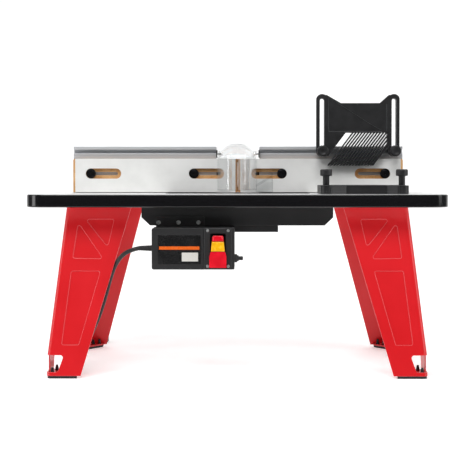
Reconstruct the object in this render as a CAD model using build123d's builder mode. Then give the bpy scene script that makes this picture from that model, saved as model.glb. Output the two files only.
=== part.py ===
"""Benchtop router table: laminated top on four pressed steel legs, split fence with sliding
faces, clear cutter guard, two featherboards and a paddle safety switch with its mains lead.

Millimetres. +X along the fence, +Y from the operator to the fence, +Z up.
The origin is on the bench under the middle of the table."""

import os
from math import pi, radians, tan

from build123d import *

os.makedirs("parts", exist_ok=True)

# ---------------------------------------------------------------- driving dimensions
TOP_LENGTH = 827.0
TOP_DEPTH = 406.0
TOP_THICKNESS = 25.0
TOP_HEIGHT = 355.0
TOP_CORNER = 40.0
UNDERSIDE = TOP_HEIGHT - TOP_THICKNESS
BAND = 3.0
BAND_EDGE_RADIUS = 2.4
BARB_THICKNESS = 1.8
BARB_DEPTH = 8.0

TRACK_Y = -128.0
TRACK_WIDTH = 30.0
TRACK_DEPTH = 12.5
MITRE_WIDTH = 19.2
MITRE_DEPTH = 5.5
UNDERCUT_WIDTH = 24.6
UNDERCUT_HEIGHT = 4.6

PLATE_Y = 25.0
PLATE_LENGTH = 298.0
PLATE_DEPTH = 235.0
PLATE_THICKNESS = 6.0
PLATE_CORNER = 18.0
PLATE_GAP = 0.3
PLATE_LEDGE = 14.0
PLATE_SCREW_INSET = 9.5
RING_RADIUS = 54.0
RING_THICKNESS = 3.0
CUTTER_RADIUS = 16.0
ROUTER_PCD = 140.0
ROUTER_SCREW_RADIUS = 3.25

LEG_STEEL = 2.5
LEG_BEND = 9.0
PAD_THICKNESS = 5.0
LEG_TOP_CORNER = (-339.3, -145.0)
LEG_TOP_ARMS = (129.3, 120.0)
LEG_FOOT_CORNER = (-368.5, -217.0)
LEG_FOOT_ARMS = (66.5, 77.0)
LEG_KNEE = 44.0
PRESSING_DEPTH = 1.1

APRON_Y = 146.0
APRON_HALF = 190.0
APRON_BOTTOM = 293.0
APRON_SHEET = 1.5

FENCE_FRONT = 20.0
FACE_THICKNESS = 12.0
FACE_LENGTH = 350.0
FACE_BOTTOM = 356.5
FACE_TOP = 427.5
FACE_BEVEL = 5.5
FACE_SLOT_LENGTH = 75.0
FACE_SLOT_HEIGHT = 21.6
FACE_SLOT_DEPTH = 6.0
FACE_SLOT_THROUGH = 6.8
FACE_SLOT_Z = 396.0
FACE_SLOT_CENTRES = (66.3, 285.0)
FACE_BOLT_X = (93.3, 312.0)
FACE_BOLT_HEAD = 10.4
BOLT_RADIUS = 3.0

EXTRUSION_FRONT = FENCE_FRONT + FACE_THICKNESS + 0.3
EXTRUSION_BACK = 52.0
EXTRUSION_INNER = 45.8
EXTRUSION_BOTTOM = TOP_HEIGHT + 0.5
EXTRUSION_TOP = 454.0
FOOT_BACK = 100.0
FOOT_THICKNESS = 6.0
T_SLOT_Z = 443.0
T_SLOT_WIDTH = 8.2
T_SLOT_LIP = 2.6
T_CHAMBER_WIDTH = 15.8
T_CHAMBER_DEPTH = 6.0
CLAMP_X = 178.0
CLAMP_Y = 78.0
CLAMP_RADIUS = 4.0

HOOD_HALF = 44.6
PORT_RADIUS = 29.0
PORT_WALL = 2.5
PORT_END = 130.0
PORT_Z = 394.0

GUARD_X = -2.0
GUARD_HALF = 41.5
GUARD_REACH = 62.0
GUARD_WALL = 2.5
GUARD_BACK = 18.0
GUARD_BOTTOM = 361.5
GUARD_SIDE_Z = 424.0
GUARD_CROWN_Z = 459.0
GUARD_FALL = 22.0
GUARD_PIVOT = (26.0, 438.0)
GUARD_PIN_RADIUS = 2.0

BOARD_X = 252.5
BOARD_THICKNESS = 17.0
BOARD_HALF = 87.3
BOARD_SLOT_X = 75.5
BOARD_UPRIGHT = 11.8
BOARD_TAIL = 120.0
BOARD_BODY_TOP = 101.0
BOARD_ROOT = 39.0
BOARD_TIP = -30.0
BOARD_FOOT = -11.0
BOARD_SLOT_RADIUS = 4.7
BOARD_SLOT_RUN = 106.0
FINGERS = 15
FINGER_PITCH = 6.45
FINGER_WIDTH = 3.4
FINGER_LEAN = 37.0
TABLE_BOARD_Z = TOP_HEIGHT + 0.4
TABLE_BOARD_TIP_Y = -4.0
FENCE_BOARD_BACK = FENCE_FRONT - 0.5

KNOB_STEM_RADIUS = 6.5
KNOB_STEM_LENGTH = 18.5
KNOB_HEAD_RADIUS = 12.0
KNOB_HEAD_LENGTH = 13.5
KNOB_BORE = BOLT_RADIUS + 0.06

BOX_LEFT = -165.5
BOX_RIGHT = -5.0
BOX_TOP = 290.5
BOX_BOTTOM = 209.7
BOX_FRONT = -200.0
BOX_BACK = -148.0
BOX_WALL = 2.5
COVER_SEAM = -64.3
COVER_THICKNESS = 3.0
BEZEL_RIGHT = -10.6
SWITCH_X = -37.0
SWITCH_PIVOT = (-195.0, 255.0)
BREAKER_BORE = 4.0

CORD_DIAMETER = 8.5
CORD_RADIUS = CORD_DIAMETER / 2
CORD_EXIT = (-192.0, -174.0, 249.7)
CORD_FLOOR_Z = CORD_RADIUS + 0.2
COIL_CENTRE = (-367.0, 288.0)
COIL_INNER_TURN = 47.0
COIL_LAYERS = 2
COIL_RINGS = 2
COIL_TURNS = 3
COIL_ENTRY_X = COIL_CENTRE[0] - COIL_INNER_TURN - CORD_DIAMETER * (COIL_RINGS - 1)


def save(piece, name):
    """Labels a finished piece and writes it as its own STEP file."""
    piece.label = name
    export_step(piece, f"parts/{name}.step")


# ---------------------------------------------------------------- shared fastener shapes
def add_countersunk_screws(places, turn, length, shank=2.0, head=4.0):
    """Countersunk screws with their heads flush at the given places, turned as a group."""
    spots = [Location(place, turn) for place in places]
    with Locations(*spots):
        Cylinder(shank, length, align=(Align.CENTER, Align.CENTER, Align.MAX))
        Cone(shank, head, head - shank, align=(Align.CENTER, Align.CENTER, Align.MAX))


def add_pan_screws(places, turn, length, shank=2.0, head=4.0, head_height=2.4):
    """Pan head screws: a low rounded head standing proud, with a cross-cut driver recess."""
    for place in places:
        with Locations(Location(place, turn)):
            Cylinder(shank, length, align=(Align.CENTER, Align.CENTER, Align.MAX))
            Cylinder(head, head_height, align=(Align.CENTER, Align.CENTER, Align.MIN))
            with Locations((0, 0, head_height)):
                for angle in (0, 90):
                    Box(head, head * 0.25, 1.2, rotation=(0, 0, angle),
                        align=(Align.CENTER, Align.CENTER, Align.MAX), mode=Mode.SUBTRACT)


def cut_holes(places, turn, radius, depth):
    """Plain holes going down from the given places, turned as a group."""
    with Locations(*[Location(place, turn) for place in places]):
        Cylinder(radius, depth, align=(Align.CENTER, Align.CENTER, Align.MAX), mode=Mode.SUBTRACT)


FACING_UP = (0, 0, 0)
FACING_DOWN = (180, 0, 0)
FACING_FRONT = (90, 0, 0)
FACING_BACK = (-90, 0, 0)

# ---------------------------------------------------------------- table top
track_floor = TOP_HEIGHT - TRACK_DEPTH
barb_bottom = UNDERSIDE + TOP_THICKNESS / 2 - BARB_THICKNESS / 2
core_size = (TOP_LENGTH - 2 * BAND, TOP_DEPTH - 2 * BAND, TOP_CORNER - BAND)
plate_cut = (PLATE_LENGTH - 2 * PLATE_LEDGE, PLATE_DEPTH - 2 * PLATE_LEDGE, PLATE_CORNER - 4)
clamp_travel = (-20.0, 45.0)
clamp_slot_middle = CLAMP_Y + (clamp_travel[0] + clamp_travel[1]) / 2
clamp_slot_length = clamp_travel[1] - clamp_travel[0] + 2 * CLAMP_RADIUS + 2
leg_bolt_places = [
    (sx * x, sy * y, UNDERSIDE - LEG_STEEL)
    for sx in (-1, 1)
    for sy in (-1, 1)
    for x, y in ((240.0, 128.0), (318.0, 70.0), (318.0, 126.0))
]
apron_tab_places = [(x, sy * 134.0, UNDERSIDE - APRON_SHEET) for sy in (-1, 1) for x in (-120.0, 0.0, 120.0)]
track_screw_x = (-390.0, -130.0, 130.0, 390.0)
plate_screw_x = PLATE_LENGTH / 2 - PLATE_SCREW_INSET
plate_screw_y = PLATE_DEPTH / 2 - PLATE_SCREW_INSET
plate_corners = [(sx * plate_screw_x, PLATE_Y + sy * plate_screw_y) for sx in (-1, 1) for sy in (-1, 1)]

with BuildPart() as tabletop:
    with BuildSketch(Plane.XY.offset(UNDERSIDE)):
        RectangleRounded(*core_size)
    extrude(amount=TOP_THICKNESS)
    with BuildSketch(Plane.XY.offset(barb_bottom)):
        RectangleRounded(*core_size)
        RectangleRounded(*[size - 2 * BARB_DEPTH for size in core_size[:2]], core_size[2] - BARB_DEPTH,
                         mode=Mode.SUBTRACT)
    extrude(amount=BARB_THICKNESS, mode=Mode.SUBTRACT)
    with BuildSketch(Plane.XY.offset(track_floor)):
        with Locations((0, TRACK_Y)):
            Rectangle(TOP_LENGTH, TRACK_WIDTH)
    extrude(amount=TRACK_DEPTH, mode=Mode.SUBTRACT)
    with BuildSketch(Plane.XY.offset(TOP_HEIGHT - PLATE_THICKNESS)):
        with Locations((0, PLATE_Y)):
            RectangleRounded(PLATE_LENGTH + 2 * PLATE_GAP, PLATE_DEPTH + 2 * PLATE_GAP, PLATE_CORNER)
    extrude(amount=PLATE_THICKNESS, mode=Mode.SUBTRACT)
    with BuildSketch(Plane.XY.offset(UNDERSIDE)):
        with Locations((0, PLATE_Y)):
            RectangleRounded(*plate_cut)
        with Locations((-CLAMP_X, clamp_slot_middle), (CLAMP_X, clamp_slot_middle)):
            SlotOverall(clamp_slot_length, 2 * CLAMP_RADIUS + 1, rotation=90)
    extrude(amount=TOP_THICKNESS, mode=Mode.SUBTRACT)
    cut_holes(leg_bolt_places, FACING_DOWN, 3.0, 16)
    cut_holes(apron_tab_places, FACING_DOWN, 2.0, 14)
    cut_holes([(x, TRACK_Y, track_floor) for x in track_screw_x], FACING_UP, 1.7, 9)
    cut_holes([(x, y, TOP_HEIGHT) for x, y in plate_corners], FACING_UP, 2.0, 18)
save(tabletop.part, "tabletop")

with BuildPart() as edge_band:
    with BuildSketch(Plane.XY.offset(UNDERSIDE)):
        RectangleRounded(TOP_LENGTH, TOP_DEPTH, TOP_CORNER)
    extrude(amount=TOP_THICKNESS)
    fillet(edge_band.faces().sort_by(Axis.Z)[0].edges(), BAND_EDGE_RADIUS)
    fillet(edge_band.faces().sort_by(Axis.Z)[-1].edges(), BAND_EDGE_RADIUS)
    with BuildSketch(Plane.XY.offset(UNDERSIDE)):
        RectangleRounded(*core_size)
    extrude(amount=TOP_THICKNESS, mode=Mode.SUBTRACT)
    with BuildSketch(Plane.XY.offset(barb_bottom)):
        RectangleRounded(core_size[0] + BAND, core_size[1] + BAND, TOP_CORNER - BAND / 2)
        RectangleRounded(*[size - 2 * BARB_DEPTH for size in core_size[:2]], core_size[2] - BARB_DEPTH,
                         mode=Mode.SUBTRACT)
    extrude(amount=BARB_THICKNESS)
    with BuildSketch(Plane.XY.offset(track_floor)):
        with Locations((0, TRACK_Y)):
            Rectangle(TOP_LENGTH, TRACK_WIDTH)
    extrude(amount=TRACK_DEPTH, mode=Mode.SUBTRACT)
save(edge_band.part, "edge_band")

# ---------------------------------------------------------------- mitre track in the top
track_start = Plane.YZ.offset(-TOP_LENGTH / 2)
with BuildPart() as mitre_track:
    with BuildSketch(track_start):
        with Locations((TRACK_Y, track_floor)):
            Rectangle(TRACK_WIDTH, TRACK_DEPTH, align=(Align.CENTER, Align.MIN))
        with Locations((TRACK_Y, TOP_HEIGHT)):
            Rectangle(MITRE_WIDTH, MITRE_DEPTH, align=(Align.CENTER, Align.MAX), mode=Mode.SUBTRACT)
        with Locations((TRACK_Y, TOP_HEIGHT - MITRE_DEPTH)):
            Rectangle(UNDERCUT_WIDTH, UNDERCUT_HEIGHT, align=(Align.CENTER, Align.MAX), mode=Mode.SUBTRACT)
    extrude(amount=TOP_LENGTH)
    for x in track_screw_x:
        with Locations((x, TRACK_Y, TOP_HEIGHT - MITRE_DEPTH - UNDERCUT_HEIGHT)):
            CounterSinkHole(1.7, 3.4, depth=4)
save(mitre_track.part, "mitre_track")

with BuildPart() as track_screws:
    screw_level = TOP_HEIGHT - MITRE_DEPTH - UNDERCUT_HEIGHT
    add_countersunk_screws([(x, TRACK_Y, screw_level) for x in track_screw_x], FACING_UP, 11, 1.7, 3.2)
save(track_screws.part, "track_screws")

# ---------------------------------------------------------------- router insert plate and its ring
ring_seat = TOP_HEIGHT - RING_THICKNESS
with BuildPart() as insert_plate:
    with BuildSketch(Plane.XY.offset(TOP_HEIGHT - PLATE_THICKNESS)):
        with Locations((0, PLATE_Y)):
            RectangleRounded(PLATE_LENGTH, PLATE_DEPTH, PLATE_CORNER - PLATE_GAP)
    extrude(amount=PLATE_THICKNESS)
    chamfer(insert_plate.faces().sort_by(Axis.Z)[-1].edges(), 0.5)
    with Locations((0, PLATE_Y, TOP_HEIGHT)):
        CounterBoreHole(RING_RADIUS - 5, RING_RADIUS + 0.2, RING_THICKNESS)
    with Locations((0, PLATE_Y, TOP_HEIGHT)):
        with PolarLocations(ROUTER_PCD / 2, 3, start_angle=90):
            CounterSinkHole(ROUTER_SCREW_RADIUS, 6.0)
    for x, y in plate_corners:
        with Locations((x, y, TOP_HEIGHT)):
            CounterSinkHole(2.05, 4.2)
save(insert_plate.part, "insert_plate")

with BuildPart() as insert_ring:
    with BuildSketch(Plane.XY.offset(ring_seat)):
        with Locations((0, PLATE_Y)):
            Circle(RING_RADIUS)
    extrude(amount=RING_THICKNESS)
    fillet(insert_ring.faces().sort_by(Axis.Z)[-1].edges(), 0.5)
    with BuildSketch(Plane.XY.offset(ring_seat)):
        with Locations((0, PLATE_Y)):
            Circle(CUTTER_RADIUS)
            with PolarLocations(RING_RADIUS - 9, 2):
                Circle(2.6)
    extrude(amount=RING_THICKNESS, mode=Mode.SUBTRACT)
save(insert_ring.part, "insert_ring")

with BuildPart() as plate_screws:
    add_countersunk_screws([(x, y, TOP_HEIGHT) for x, y in plate_corners], FACING_UP, 17, 1.95, 4.0)
save(plate_screws.part, "plate_screws")

# ---------------------------------------------------------------- legs, one pressing mirrored to four
# The front panel leans out towards the foot, so its outer face is a plane through X.
lean_run = LEG_TOP_CORNER[1] - LEG_FOOT_CORNER[1]
lean_rise = UNDERSIDE - PAD_THICKNESS
panel_normal = Vector(0, -lean_rise, lean_run)
leg_panel = Plane(origin=(0, LEG_TOP_CORNER[1], UNDERSIDE), x_dir=(1, 0, 0), z_dir=panel_normal)
slope_length = (lean_run**2 + lean_rise**2) ** 0.5


def on_panel(x, z):
    """Point of the leaning panel face, from its place across and its height above the bench."""
    return (x, (z - UNDERSIDE) * slope_length / lean_rise)


pressings = [
    [(-243, 306), (-301, 306), (-255, 250)],
    [(-315, 300), (-263, 228), (-324, 229)],
    [(-268, 205), (-326, 205), (-341, 63), (-307, 63)],
]
window_side = 31.0
window_height = (12.0, LEG_KNEE)
window_slant = 9.0
peg_places = [(-359.5, -198.0), (-356.0, -163.0), (-331.0, -200.0), (-318.0, -207.0)]
bench_hole = (-336.0, -190.0)
foot_x, foot_y = LEG_FOOT_CORNER

# Below the knee the outer bend stands upright, while both free edges run on in their straight lines.
knee_share = (LEG_KNEE - PAD_THICKNESS) / lean_rise
knee_x_gain = (LEG_TOP_CORNER[0] + LEG_TOP_ARMS[0] - foot_x - LEG_FOOT_ARMS[0]) * knee_share
knee_corner = (foot_x, foot_y + lean_run * knee_share)
knee_arms = (
    LEG_FOOT_ARMS[0] + knee_x_gain,
    LEG_FOOT_ARMS[1] + (LEG_TOP_ARMS[1] - LEG_FOOT_ARMS[1]) * knee_share,
)

with BuildPart() as leg_front_left:
    leg_levels = (
        (PAD_THICKNESS, LEG_FOOT_CORNER, LEG_FOOT_ARMS),
        (LEG_KNEE, knee_corner, knee_arms),
        (UNDERSIDE, LEG_TOP_CORNER, LEG_TOP_ARMS),
    )
    for height, (x, y), (front_arm, side_arm) in leg_levels:
        with BuildSketch(Plane.XY.offset(height)) as angle_section:
            with BuildLine():
                Polyline(
                    (x, y),
                    (x + front_arm, y),
                    (x + front_arm, y + LEG_STEEL),
                    (x + LEG_STEEL, y + LEG_STEEL),
                    (x + LEG_STEEL, y + side_arm),
                    (x, y + side_arm),
                    close=True,
                )
            make_face()
            corners = angle_section.vertices().sort_by_distance(Vector(x, y, height))
            fillet(corners[0], LEG_BEND)
            corners = angle_section.vertices().sort_by_distance(Vector(x + LEG_STEEL, y + LEG_STEEL, height))
            fillet(corners[0], LEG_BEND - LEG_STEEL)
    loft(ruled=True)
    # Turned-in flanges: one under the top for its screws, one on the rubber pad.
    top_x, top_y = LEG_TOP_CORNER
    with BuildSketch(Plane.XY.offset(UNDERSIDE - LEG_STEEL)):
        with BuildLine():
            Polyline((top_x + 4, top_y + 1), (top_x + 119, top_y + 1), (top_x + 119, top_y + 26),
                     (top_x + 40, top_y + 40), (top_x + 30, top_y + 116), (top_x + 1, top_y + 116),
                     (top_x + 1, top_y + 4), close=True)
        make_face()
    extrude(amount=LEG_STEEL)
    with BuildSketch(Plane.XY.offset(PAD_THICKNESS)):
        with BuildLine():
            Polyline((foot_x + 4, foot_y + 1), (foot_x + 62, foot_y + 1), (foot_x + 60, foot_y + 12),
                     (foot_x + 14, foot_y + 74), (foot_x + 1, foot_y + 75), (foot_x + 1, foot_y + 4), close=True)
        make_face()
    extrude(amount=LEG_STEEL)
    # Window at the foot, round the outer bend.
    window_middle = (window_height[0] + window_height[1]) / 2
    window_tall = window_height[1] - window_height[0]
    with BuildSketch(Plane.XZ.offset(-foot_y - 12)) as front_window:
        with BuildLine():
            Polyline(
                (foot_x - 12, window_height[0]),
                (foot_x + window_side - window_slant, window_height[0]),
                (foot_x + window_side + 2, window_height[1]),
                (foot_x - 12, window_height[1]),
                close=True,
            )
        make_face()
        fillet(front_window.vertices(), 5)
    extrude(amount=24, mode=Mode.SUBTRACT)
    with BuildSketch(Plane.YZ.offset(foot_x - 8)):
        with Locations((foot_y + window_side - 30, window_middle)):
            RectangleRounded(60, window_tall, 5)
    extrude(amount=22, mode=Mode.SUBTRACT)
    # Pressed-in panels that stiffen the wide face.
    for outline in pressings:
        with BuildSketch(leg_panel) as pressing:
            with BuildLine():
                Polyline(*[on_panel(x, z) for x, z in outline], close=True)
            make_face()
            fillet(pressing.vertices(), 4)
        extrude(amount=-PRESSING_DEPTH, taper=30, mode=Mode.SUBTRACT)
    cut_holes([(-abs(x), -abs(y), UNDERSIDE + 1) for x, y, z in leg_bolt_places[:3]], FACING_UP, 3.1, 5)
    cut_holes([(x, y, PAD_THICKNESS + 5) for x, y in peg_places], FACING_UP, 3.0, 6)
    cut_holes([(*bench_hole, PAD_THICKNESS + 5)], FACING_UP, 3.25, 6)
save(leg_front_left.part, "leg_front_left")

with BuildPart() as leg_front_right:
    mirror(leg_front_left.part, about=Plane.YZ)
save(leg_front_right.part, "leg_front_right")

with BuildPart() as leg_back_left:
    mirror(leg_front_left.part, about=Plane.XZ)
save(leg_back_left.part, "leg_back_left")

with BuildPart() as leg_back_right:
    mirror(leg_front_right.part, about=Plane.XZ)
save(leg_back_right.part, "leg_back_right")

with BuildPart() as leg_bolts:
    add_pan_screws(leg_bolt_places, FACING_DOWN, 15, 2.95, 5.5, 3.0)
save(leg_bolts.part, "leg_bolts")

with BuildPart() as foot_pad_front_left:
    with BuildSketch():
        with BuildLine():
            Polyline((foot_x + 6, foot_y + 1), (foot_x + 59, foot_y + 1), (foot_x + 58, foot_y + 11),
                     (foot_x + 13, foot_y + 73), (foot_x + 2, foot_y + 73), (foot_x + 2, foot_y + 5), close=True)
        make_face()
    extrude(amount=PAD_THICKNESS)
    with Locations(*[(x, y, PAD_THICKNESS) for x, y in peg_places]):
        Cylinder(2.95, LEG_STEEL, align=(Align.CENTER, Align.CENTER, Align.MIN))
    with Locations(*[(x, y, PAD_THICKNESS + LEG_STEEL) for x, y in peg_places]):
        Cone(4.0, 2.2, 11.0, align=(Align.CENTER, Align.CENTER, Align.MIN))
    cut_holes([(*bench_hole, PAD_THICKNESS)], FACING_UP, 3.25, PAD_THICKNESS)
save(foot_pad_front_left.part, "foot_pad_front_left")

with BuildPart() as foot_pad_front_right:
    mirror(foot_pad_front_left.part, about=Plane.YZ)
save(foot_pad_front_right.part, "foot_pad_front_right")

with BuildPart() as foot_pad_back_left:
    mirror(foot_pad_front_left.part, about=Plane.XZ)
save(foot_pad_back_left.part, "foot_pad_back_left")

with BuildPart() as foot_pad_back_right:
    mirror(foot_pad_front_right.part, about=Plane.XZ)
save(foot_pad_back_right.part, "foot_pad_back_right")

# ---------------------------------------------------------------- aprons and the switch bracket
flange_screw_x = (-155.6, -116.2, -76.8)
flange_screw_z = 299.0
flange_front = -APRON_Y - COVER_THICKNESS
apron_corner = (17.0, 16.0)
with BuildPart() as front_apron:
    with BuildSketch(Plane.XZ.offset(APRON_Y - APRON_SHEET)):
        with BuildLine():
            Polyline((-APRON_HALF, UNDERSIDE), (APRON_HALF, UNDERSIDE),
                     (APRON_HALF, APRON_BOTTOM + apron_corner[1]), (APRON_HALF - apron_corner[0], APRON_BOTTOM),
                     (-APRON_HALF + apron_corner[0], APRON_BOTTOM),
                     (-APRON_HALF, APRON_BOTTOM + apron_corner[1]), close=True)
        make_face()
    extrude(amount=APRON_SHEET)
    with Locations(*[(x, -APRON_Y + 0.5, UNDERSIDE) for x in (-120.0, 0.0, 120.0)]):
        Box(36, 22, APRON_SHEET, align=(Align.CENTER, Align.MIN, Align.MAX))
    cut_holes([(x, -abs(y), UNDERSIDE + 1) for x, y, z in apron_tab_places[:3]], FACING_UP, 2.1, 4)
    cut_holes([(x, -APRON_Y - 1, flange_screw_z) for x in flange_screw_x], FACING_FRONT, 2.1, 5)
save(front_apron.part, "front_apron")

with BuildPart() as rear_apron:
    mirror(front_apron.part, about=Plane.XZ)
save(rear_apron.part, "rear_apron")

with BuildPart() as apron_screws:
    add_pan_screws(apron_tab_places, FACING_DOWN, 13, 1.95, 3.8)
save(apron_screws.part, "apron_screws")

bracket_face = -APRON_Y + APRON_SHEET
with BuildPart() as switch_bracket:
    with BuildSketch(Plane.YZ.offset(-160)):
        with BuildLine():
            Polyline((bracket_face, 322), (bracket_face + 2, 322), (bracket_face + 2, 282),
                     (bracket_face + 14, 282), (bracket_face + 14, 280), (bracket_face, 280), close=True)
        make_face()
    extrude(amount=241)
    cut_holes([(x, -APRON_Y, flange_screw_z) for x in flange_screw_x], FACING_FRONT, 2.1, 5)
save(switch_bracket.part, "switch_bracket")

# ---------------------------------------------------------------- switch box
box_length = BOX_RIGHT - BOX_LEFT
box_height = BOX_TOP - BOX_BOTTOM
box_middle_x = (BOX_LEFT + BOX_RIGHT) / 2
box_middle_z = (BOX_TOP + BOX_BOTTOM) / 2
box_depth = BOX_BACK - BOX_FRONT
breaker_place = (-174.0, 230.0)
outlet_place = (-116.0, 248.0)
outlet_size = 42.0
front_plane = Plane.XZ.offset(-BOX_FRONT)
switch_window = (30.6, 58.0)
switch_window_z = 251.0

with BuildPart() as switch_housing:
    with BuildSketch(Plane.XZ.offset(-BOX_BACK)):
        with Locations((box_middle_x, box_middle_z)):
            RectangleRounded(box_length, box_height, 4)
    extrude(amount=box_depth)
    with BuildSketch(Plane.XZ.offset(-BOX_BACK + BOX_WALL)):
        with Locations((box_middle_x, box_middle_z)):
            RectangleRounded(box_length - 2 * BOX_WALL, box_height - 2 * BOX_WALL, 2)
    extrude(amount=box_depth, mode=Mode.SUBTRACT)
    # Fixing flange that stands up from the back, in front of the apron.
    with BuildSketch(Plane.XZ.offset(APRON_Y)):
        with Locations((-113.0, 299.0)):
            RectangleRounded(96, 24, 3)
    extrude(amount=COVER_THICKNESS)
    with Locations((-113.0, -APRON_Y, BOX_TOP - 3)):
        Box(90, 5, 6, align=(Align.CENTER, Align.MAX, Align.CENTER))
    cut_holes([(x, flange_front, flange_screw_z) for x in flange_screw_x], FACING_FRONT, 2.1, 5)
    with Locations((BOX_LEFT, CORD_EXIT[1], CORD_EXIT[2])):
        Cylinder(5.5, 12, rotation=(0, 90, 0), mode=Mode.SUBTRACT)
    with Locations((BOX_RIGHT, *breaker_place)):
        Cylinder(6.0, 12, rotation=(0, 90, 0), mode=Mode.SUBTRACT)
    with Locations((outlet_place[0], BOX_BACK, outlet_place[1])):
        Box(outlet_size, 12, outlet_size, mode=Mode.SUBTRACT)
save(switch_housing.part, "switch_housing")

with BuildPart() as switch_cover:
    with BuildSketch(front_plane):
        with Locations(((BOX_LEFT + COVER_SEAM) / 2, box_middle_z)):
            RectangleRounded(COVER_SEAM - BOX_LEFT, box_height, 4)
        with Locations((COVER_SEAM - 4, box_middle_z)):
            Rectangle(8, box_height)
    extrude(amount=COVER_THICKNESS)
    fillet(switch_cover.faces().sort_by(Axis.Y)[0].edges(), 1.0)
save(switch_cover.part, "switch_cover")

with BuildPart() as label_plate:
    with BuildSketch(front_plane.offset(COVER_THICKNESS)):
        with Locations((-112.0, 248.5)):
            RectangleRounded(83, 57, 1.5)
    extrude(amount=0.4)
save(label_plate.part, "label_plate")

bezel_width = BEZEL_RIGHT - COVER_SEAM - 0.3
bezel_middle = (BEZEL_RIGHT + COVER_SEAM + 0.3) / 2
bezel_screw_places = [
    (SWITCH_X + sx * 20.0, BOX_FRONT - COVER_THICKNESS - 1.0, switch_window_z + sz * 34.5)
    for sx in (-1, 1)
    for sz in (-1, 1)
]
with BuildPart() as switch_bezel:
    with BuildSketch(front_plane):
        with Locations((bezel_middle, box_middle_z)):
            Rectangle(bezel_width, box_height - 1)
        with Locations((BEZEL_RIGHT, box_middle_z)):
            Rectangle(BOX_RIGHT - BEZEL_RIGHT, box_height - 1, align=(Align.MIN, Align.CENTER))
    extrude(amount=COVER_THICKNESS)
    with BuildSketch(front_plane.offset(COVER_THICKNESS)):
        with Locations((bezel_middle, box_middle_z)):
            RectangleRounded(bezel_width - 1, box_height - 3, 5)
    extrude(amount=1.0)
    with BuildSketch(front_plane):
        with Locations((SWITCH_X, switch_window_z)):
            RectangleRounded(*switch_window, 2)
    extrude(amount=COVER_THICKNESS + 1, mode=Mode.SUBTRACT)
    cut_holes(bezel_screw_places, FACING_FRONT, 1.6, 6)
save(switch_bezel.part, "switch_bezel")

with BuildPart() as bezel_screws:
    add_pan_screws(bezel_screw_places, FACING_FRONT, 3.8, 1.55, 2.8, 1.2)
save(bezel_screws.part, "bezel_screws")

with BuildPart() as switch_screws:
    flange_screw_places = [(x, flange_front, flange_screw_z) for x in flange_screw_x]
    add_pan_screws(flange_screw_places, FACING_FRONT, 12, 2.0, 4.2)
save(switch_screws.part, "switch_screws")

with BuildPart() as switch_mechanism:
    with Locations((SWITCH_X, BOX_BACK - BOX_WALL - 2, 250)):
        Box(36, 26, 62, align=(Align.CENTER, Align.MAX, Align.CENTER))
    fillet(switch_mechanism.edges().filter_by(Axis.Y), 3)
    with Locations(*[(SWITCH_X + x, BOX_BACK - BOX_WALL, 250) for x in (-14, 0, 14)]):
        Box(6, 3, 8, align=(Align.CENTER, Align.MAX, Align.CENTER))
save(switch_mechanism.part, "switch_mechanism")

with BuildPart() as outlet:
    with Locations((outlet_place[0], BOX_BACK + 1.5, outlet_place[1])):
        Box(outlet_size, 20, outlet_size, align=(Align.CENTER, Align.MAX, Align.CENTER))
    fillet(outlet.edges().filter_by(Axis.Y), 2)
    with Locations((outlet_place[0], BOX_BACK + 1.5, outlet_place[1])):
        Cylinder(16, 4, rotation=(90, 0, 0), mode=Mode.SUBTRACT)
    for dx, dz, wide, tall in ((-6.4, 2, 2.4, 8), (6.4, 2, 2.4, 7), (0, -9, 5, 5)):
        with Locations((outlet_place[0] + dx, BOX_BACK, outlet_place[1] + dz)):
            Box(wide, 24, tall, mode=Mode.SUBTRACT)
save(outlet.part, "outlet")

# Rocker with its stop paddle; the yellow key plugs into its middle.
rocker_face = BOX_FRONT - 8.0
with BuildPart() as switch_rocker:
    with BuildSketch(Plane.XZ.offset(-BOX_FRONT - 11)):
        with Locations((SWITCH_X, SWITCH_PIVOT[1] - 4)):
            RectangleRounded(22, 48, 3)
    extrude(amount=19)
    with BuildSketch(Plane.XZ.offset(-rocker_face)):
        with BuildLine():
            Polyline((SWITCH_X - 9, 276), (SWITCH_X + 9, 276), (SWITCH_X + 10, 265), (SWITCH_X - 10, 265),
                     close=True)
        make_face()
        with BuildLine():
            Polyline((SWITCH_X - 14, 245), (SWITCH_X + 14, 245), (SWITCH_X + 16.6, 236),
                     (SWITCH_X + 16.6, 214), (SWITCH_X - 16.6, 214), (SWITCH_X - 16.6, 236), close=True)
        make_face()
    extrude(amount=6)
    fillet(switch_rocker.faces().sort_by(Axis.Y)[0].edges(), 1.5)
    with Locations((SWITCH_X, rocker_face, 255)):
        Box(14.6, 26, 7.6, mode=Mode.SUBTRACT)
save(switch_rocker.part, "switch_rocker")

with BuildPart() as safety_key:
    with BuildSketch(Plane.XZ.offset(-rocker_face + 0.2)):
        with BuildLine():
            Polyline((SWITCH_X - 11.5, 264.3), (SWITCH_X + 11.5, 264.3), (SWITCH_X + 13.4, 245.7),
                     (SWITCH_X - 13.4, 245.7), close=True)
        make_face()
    extrude(amount=7.5)
    fillet(safety_key.faces().sort_by(Axis.Y)[0].edges(), 1.2)
    for side in (-1, 1):
        with Locations((SWITCH_X + side * 4.5, rocker_face + 5, 255)):
            Box(4.6, 12, 6.8)
save(safety_key.part, "safety_key")

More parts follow.
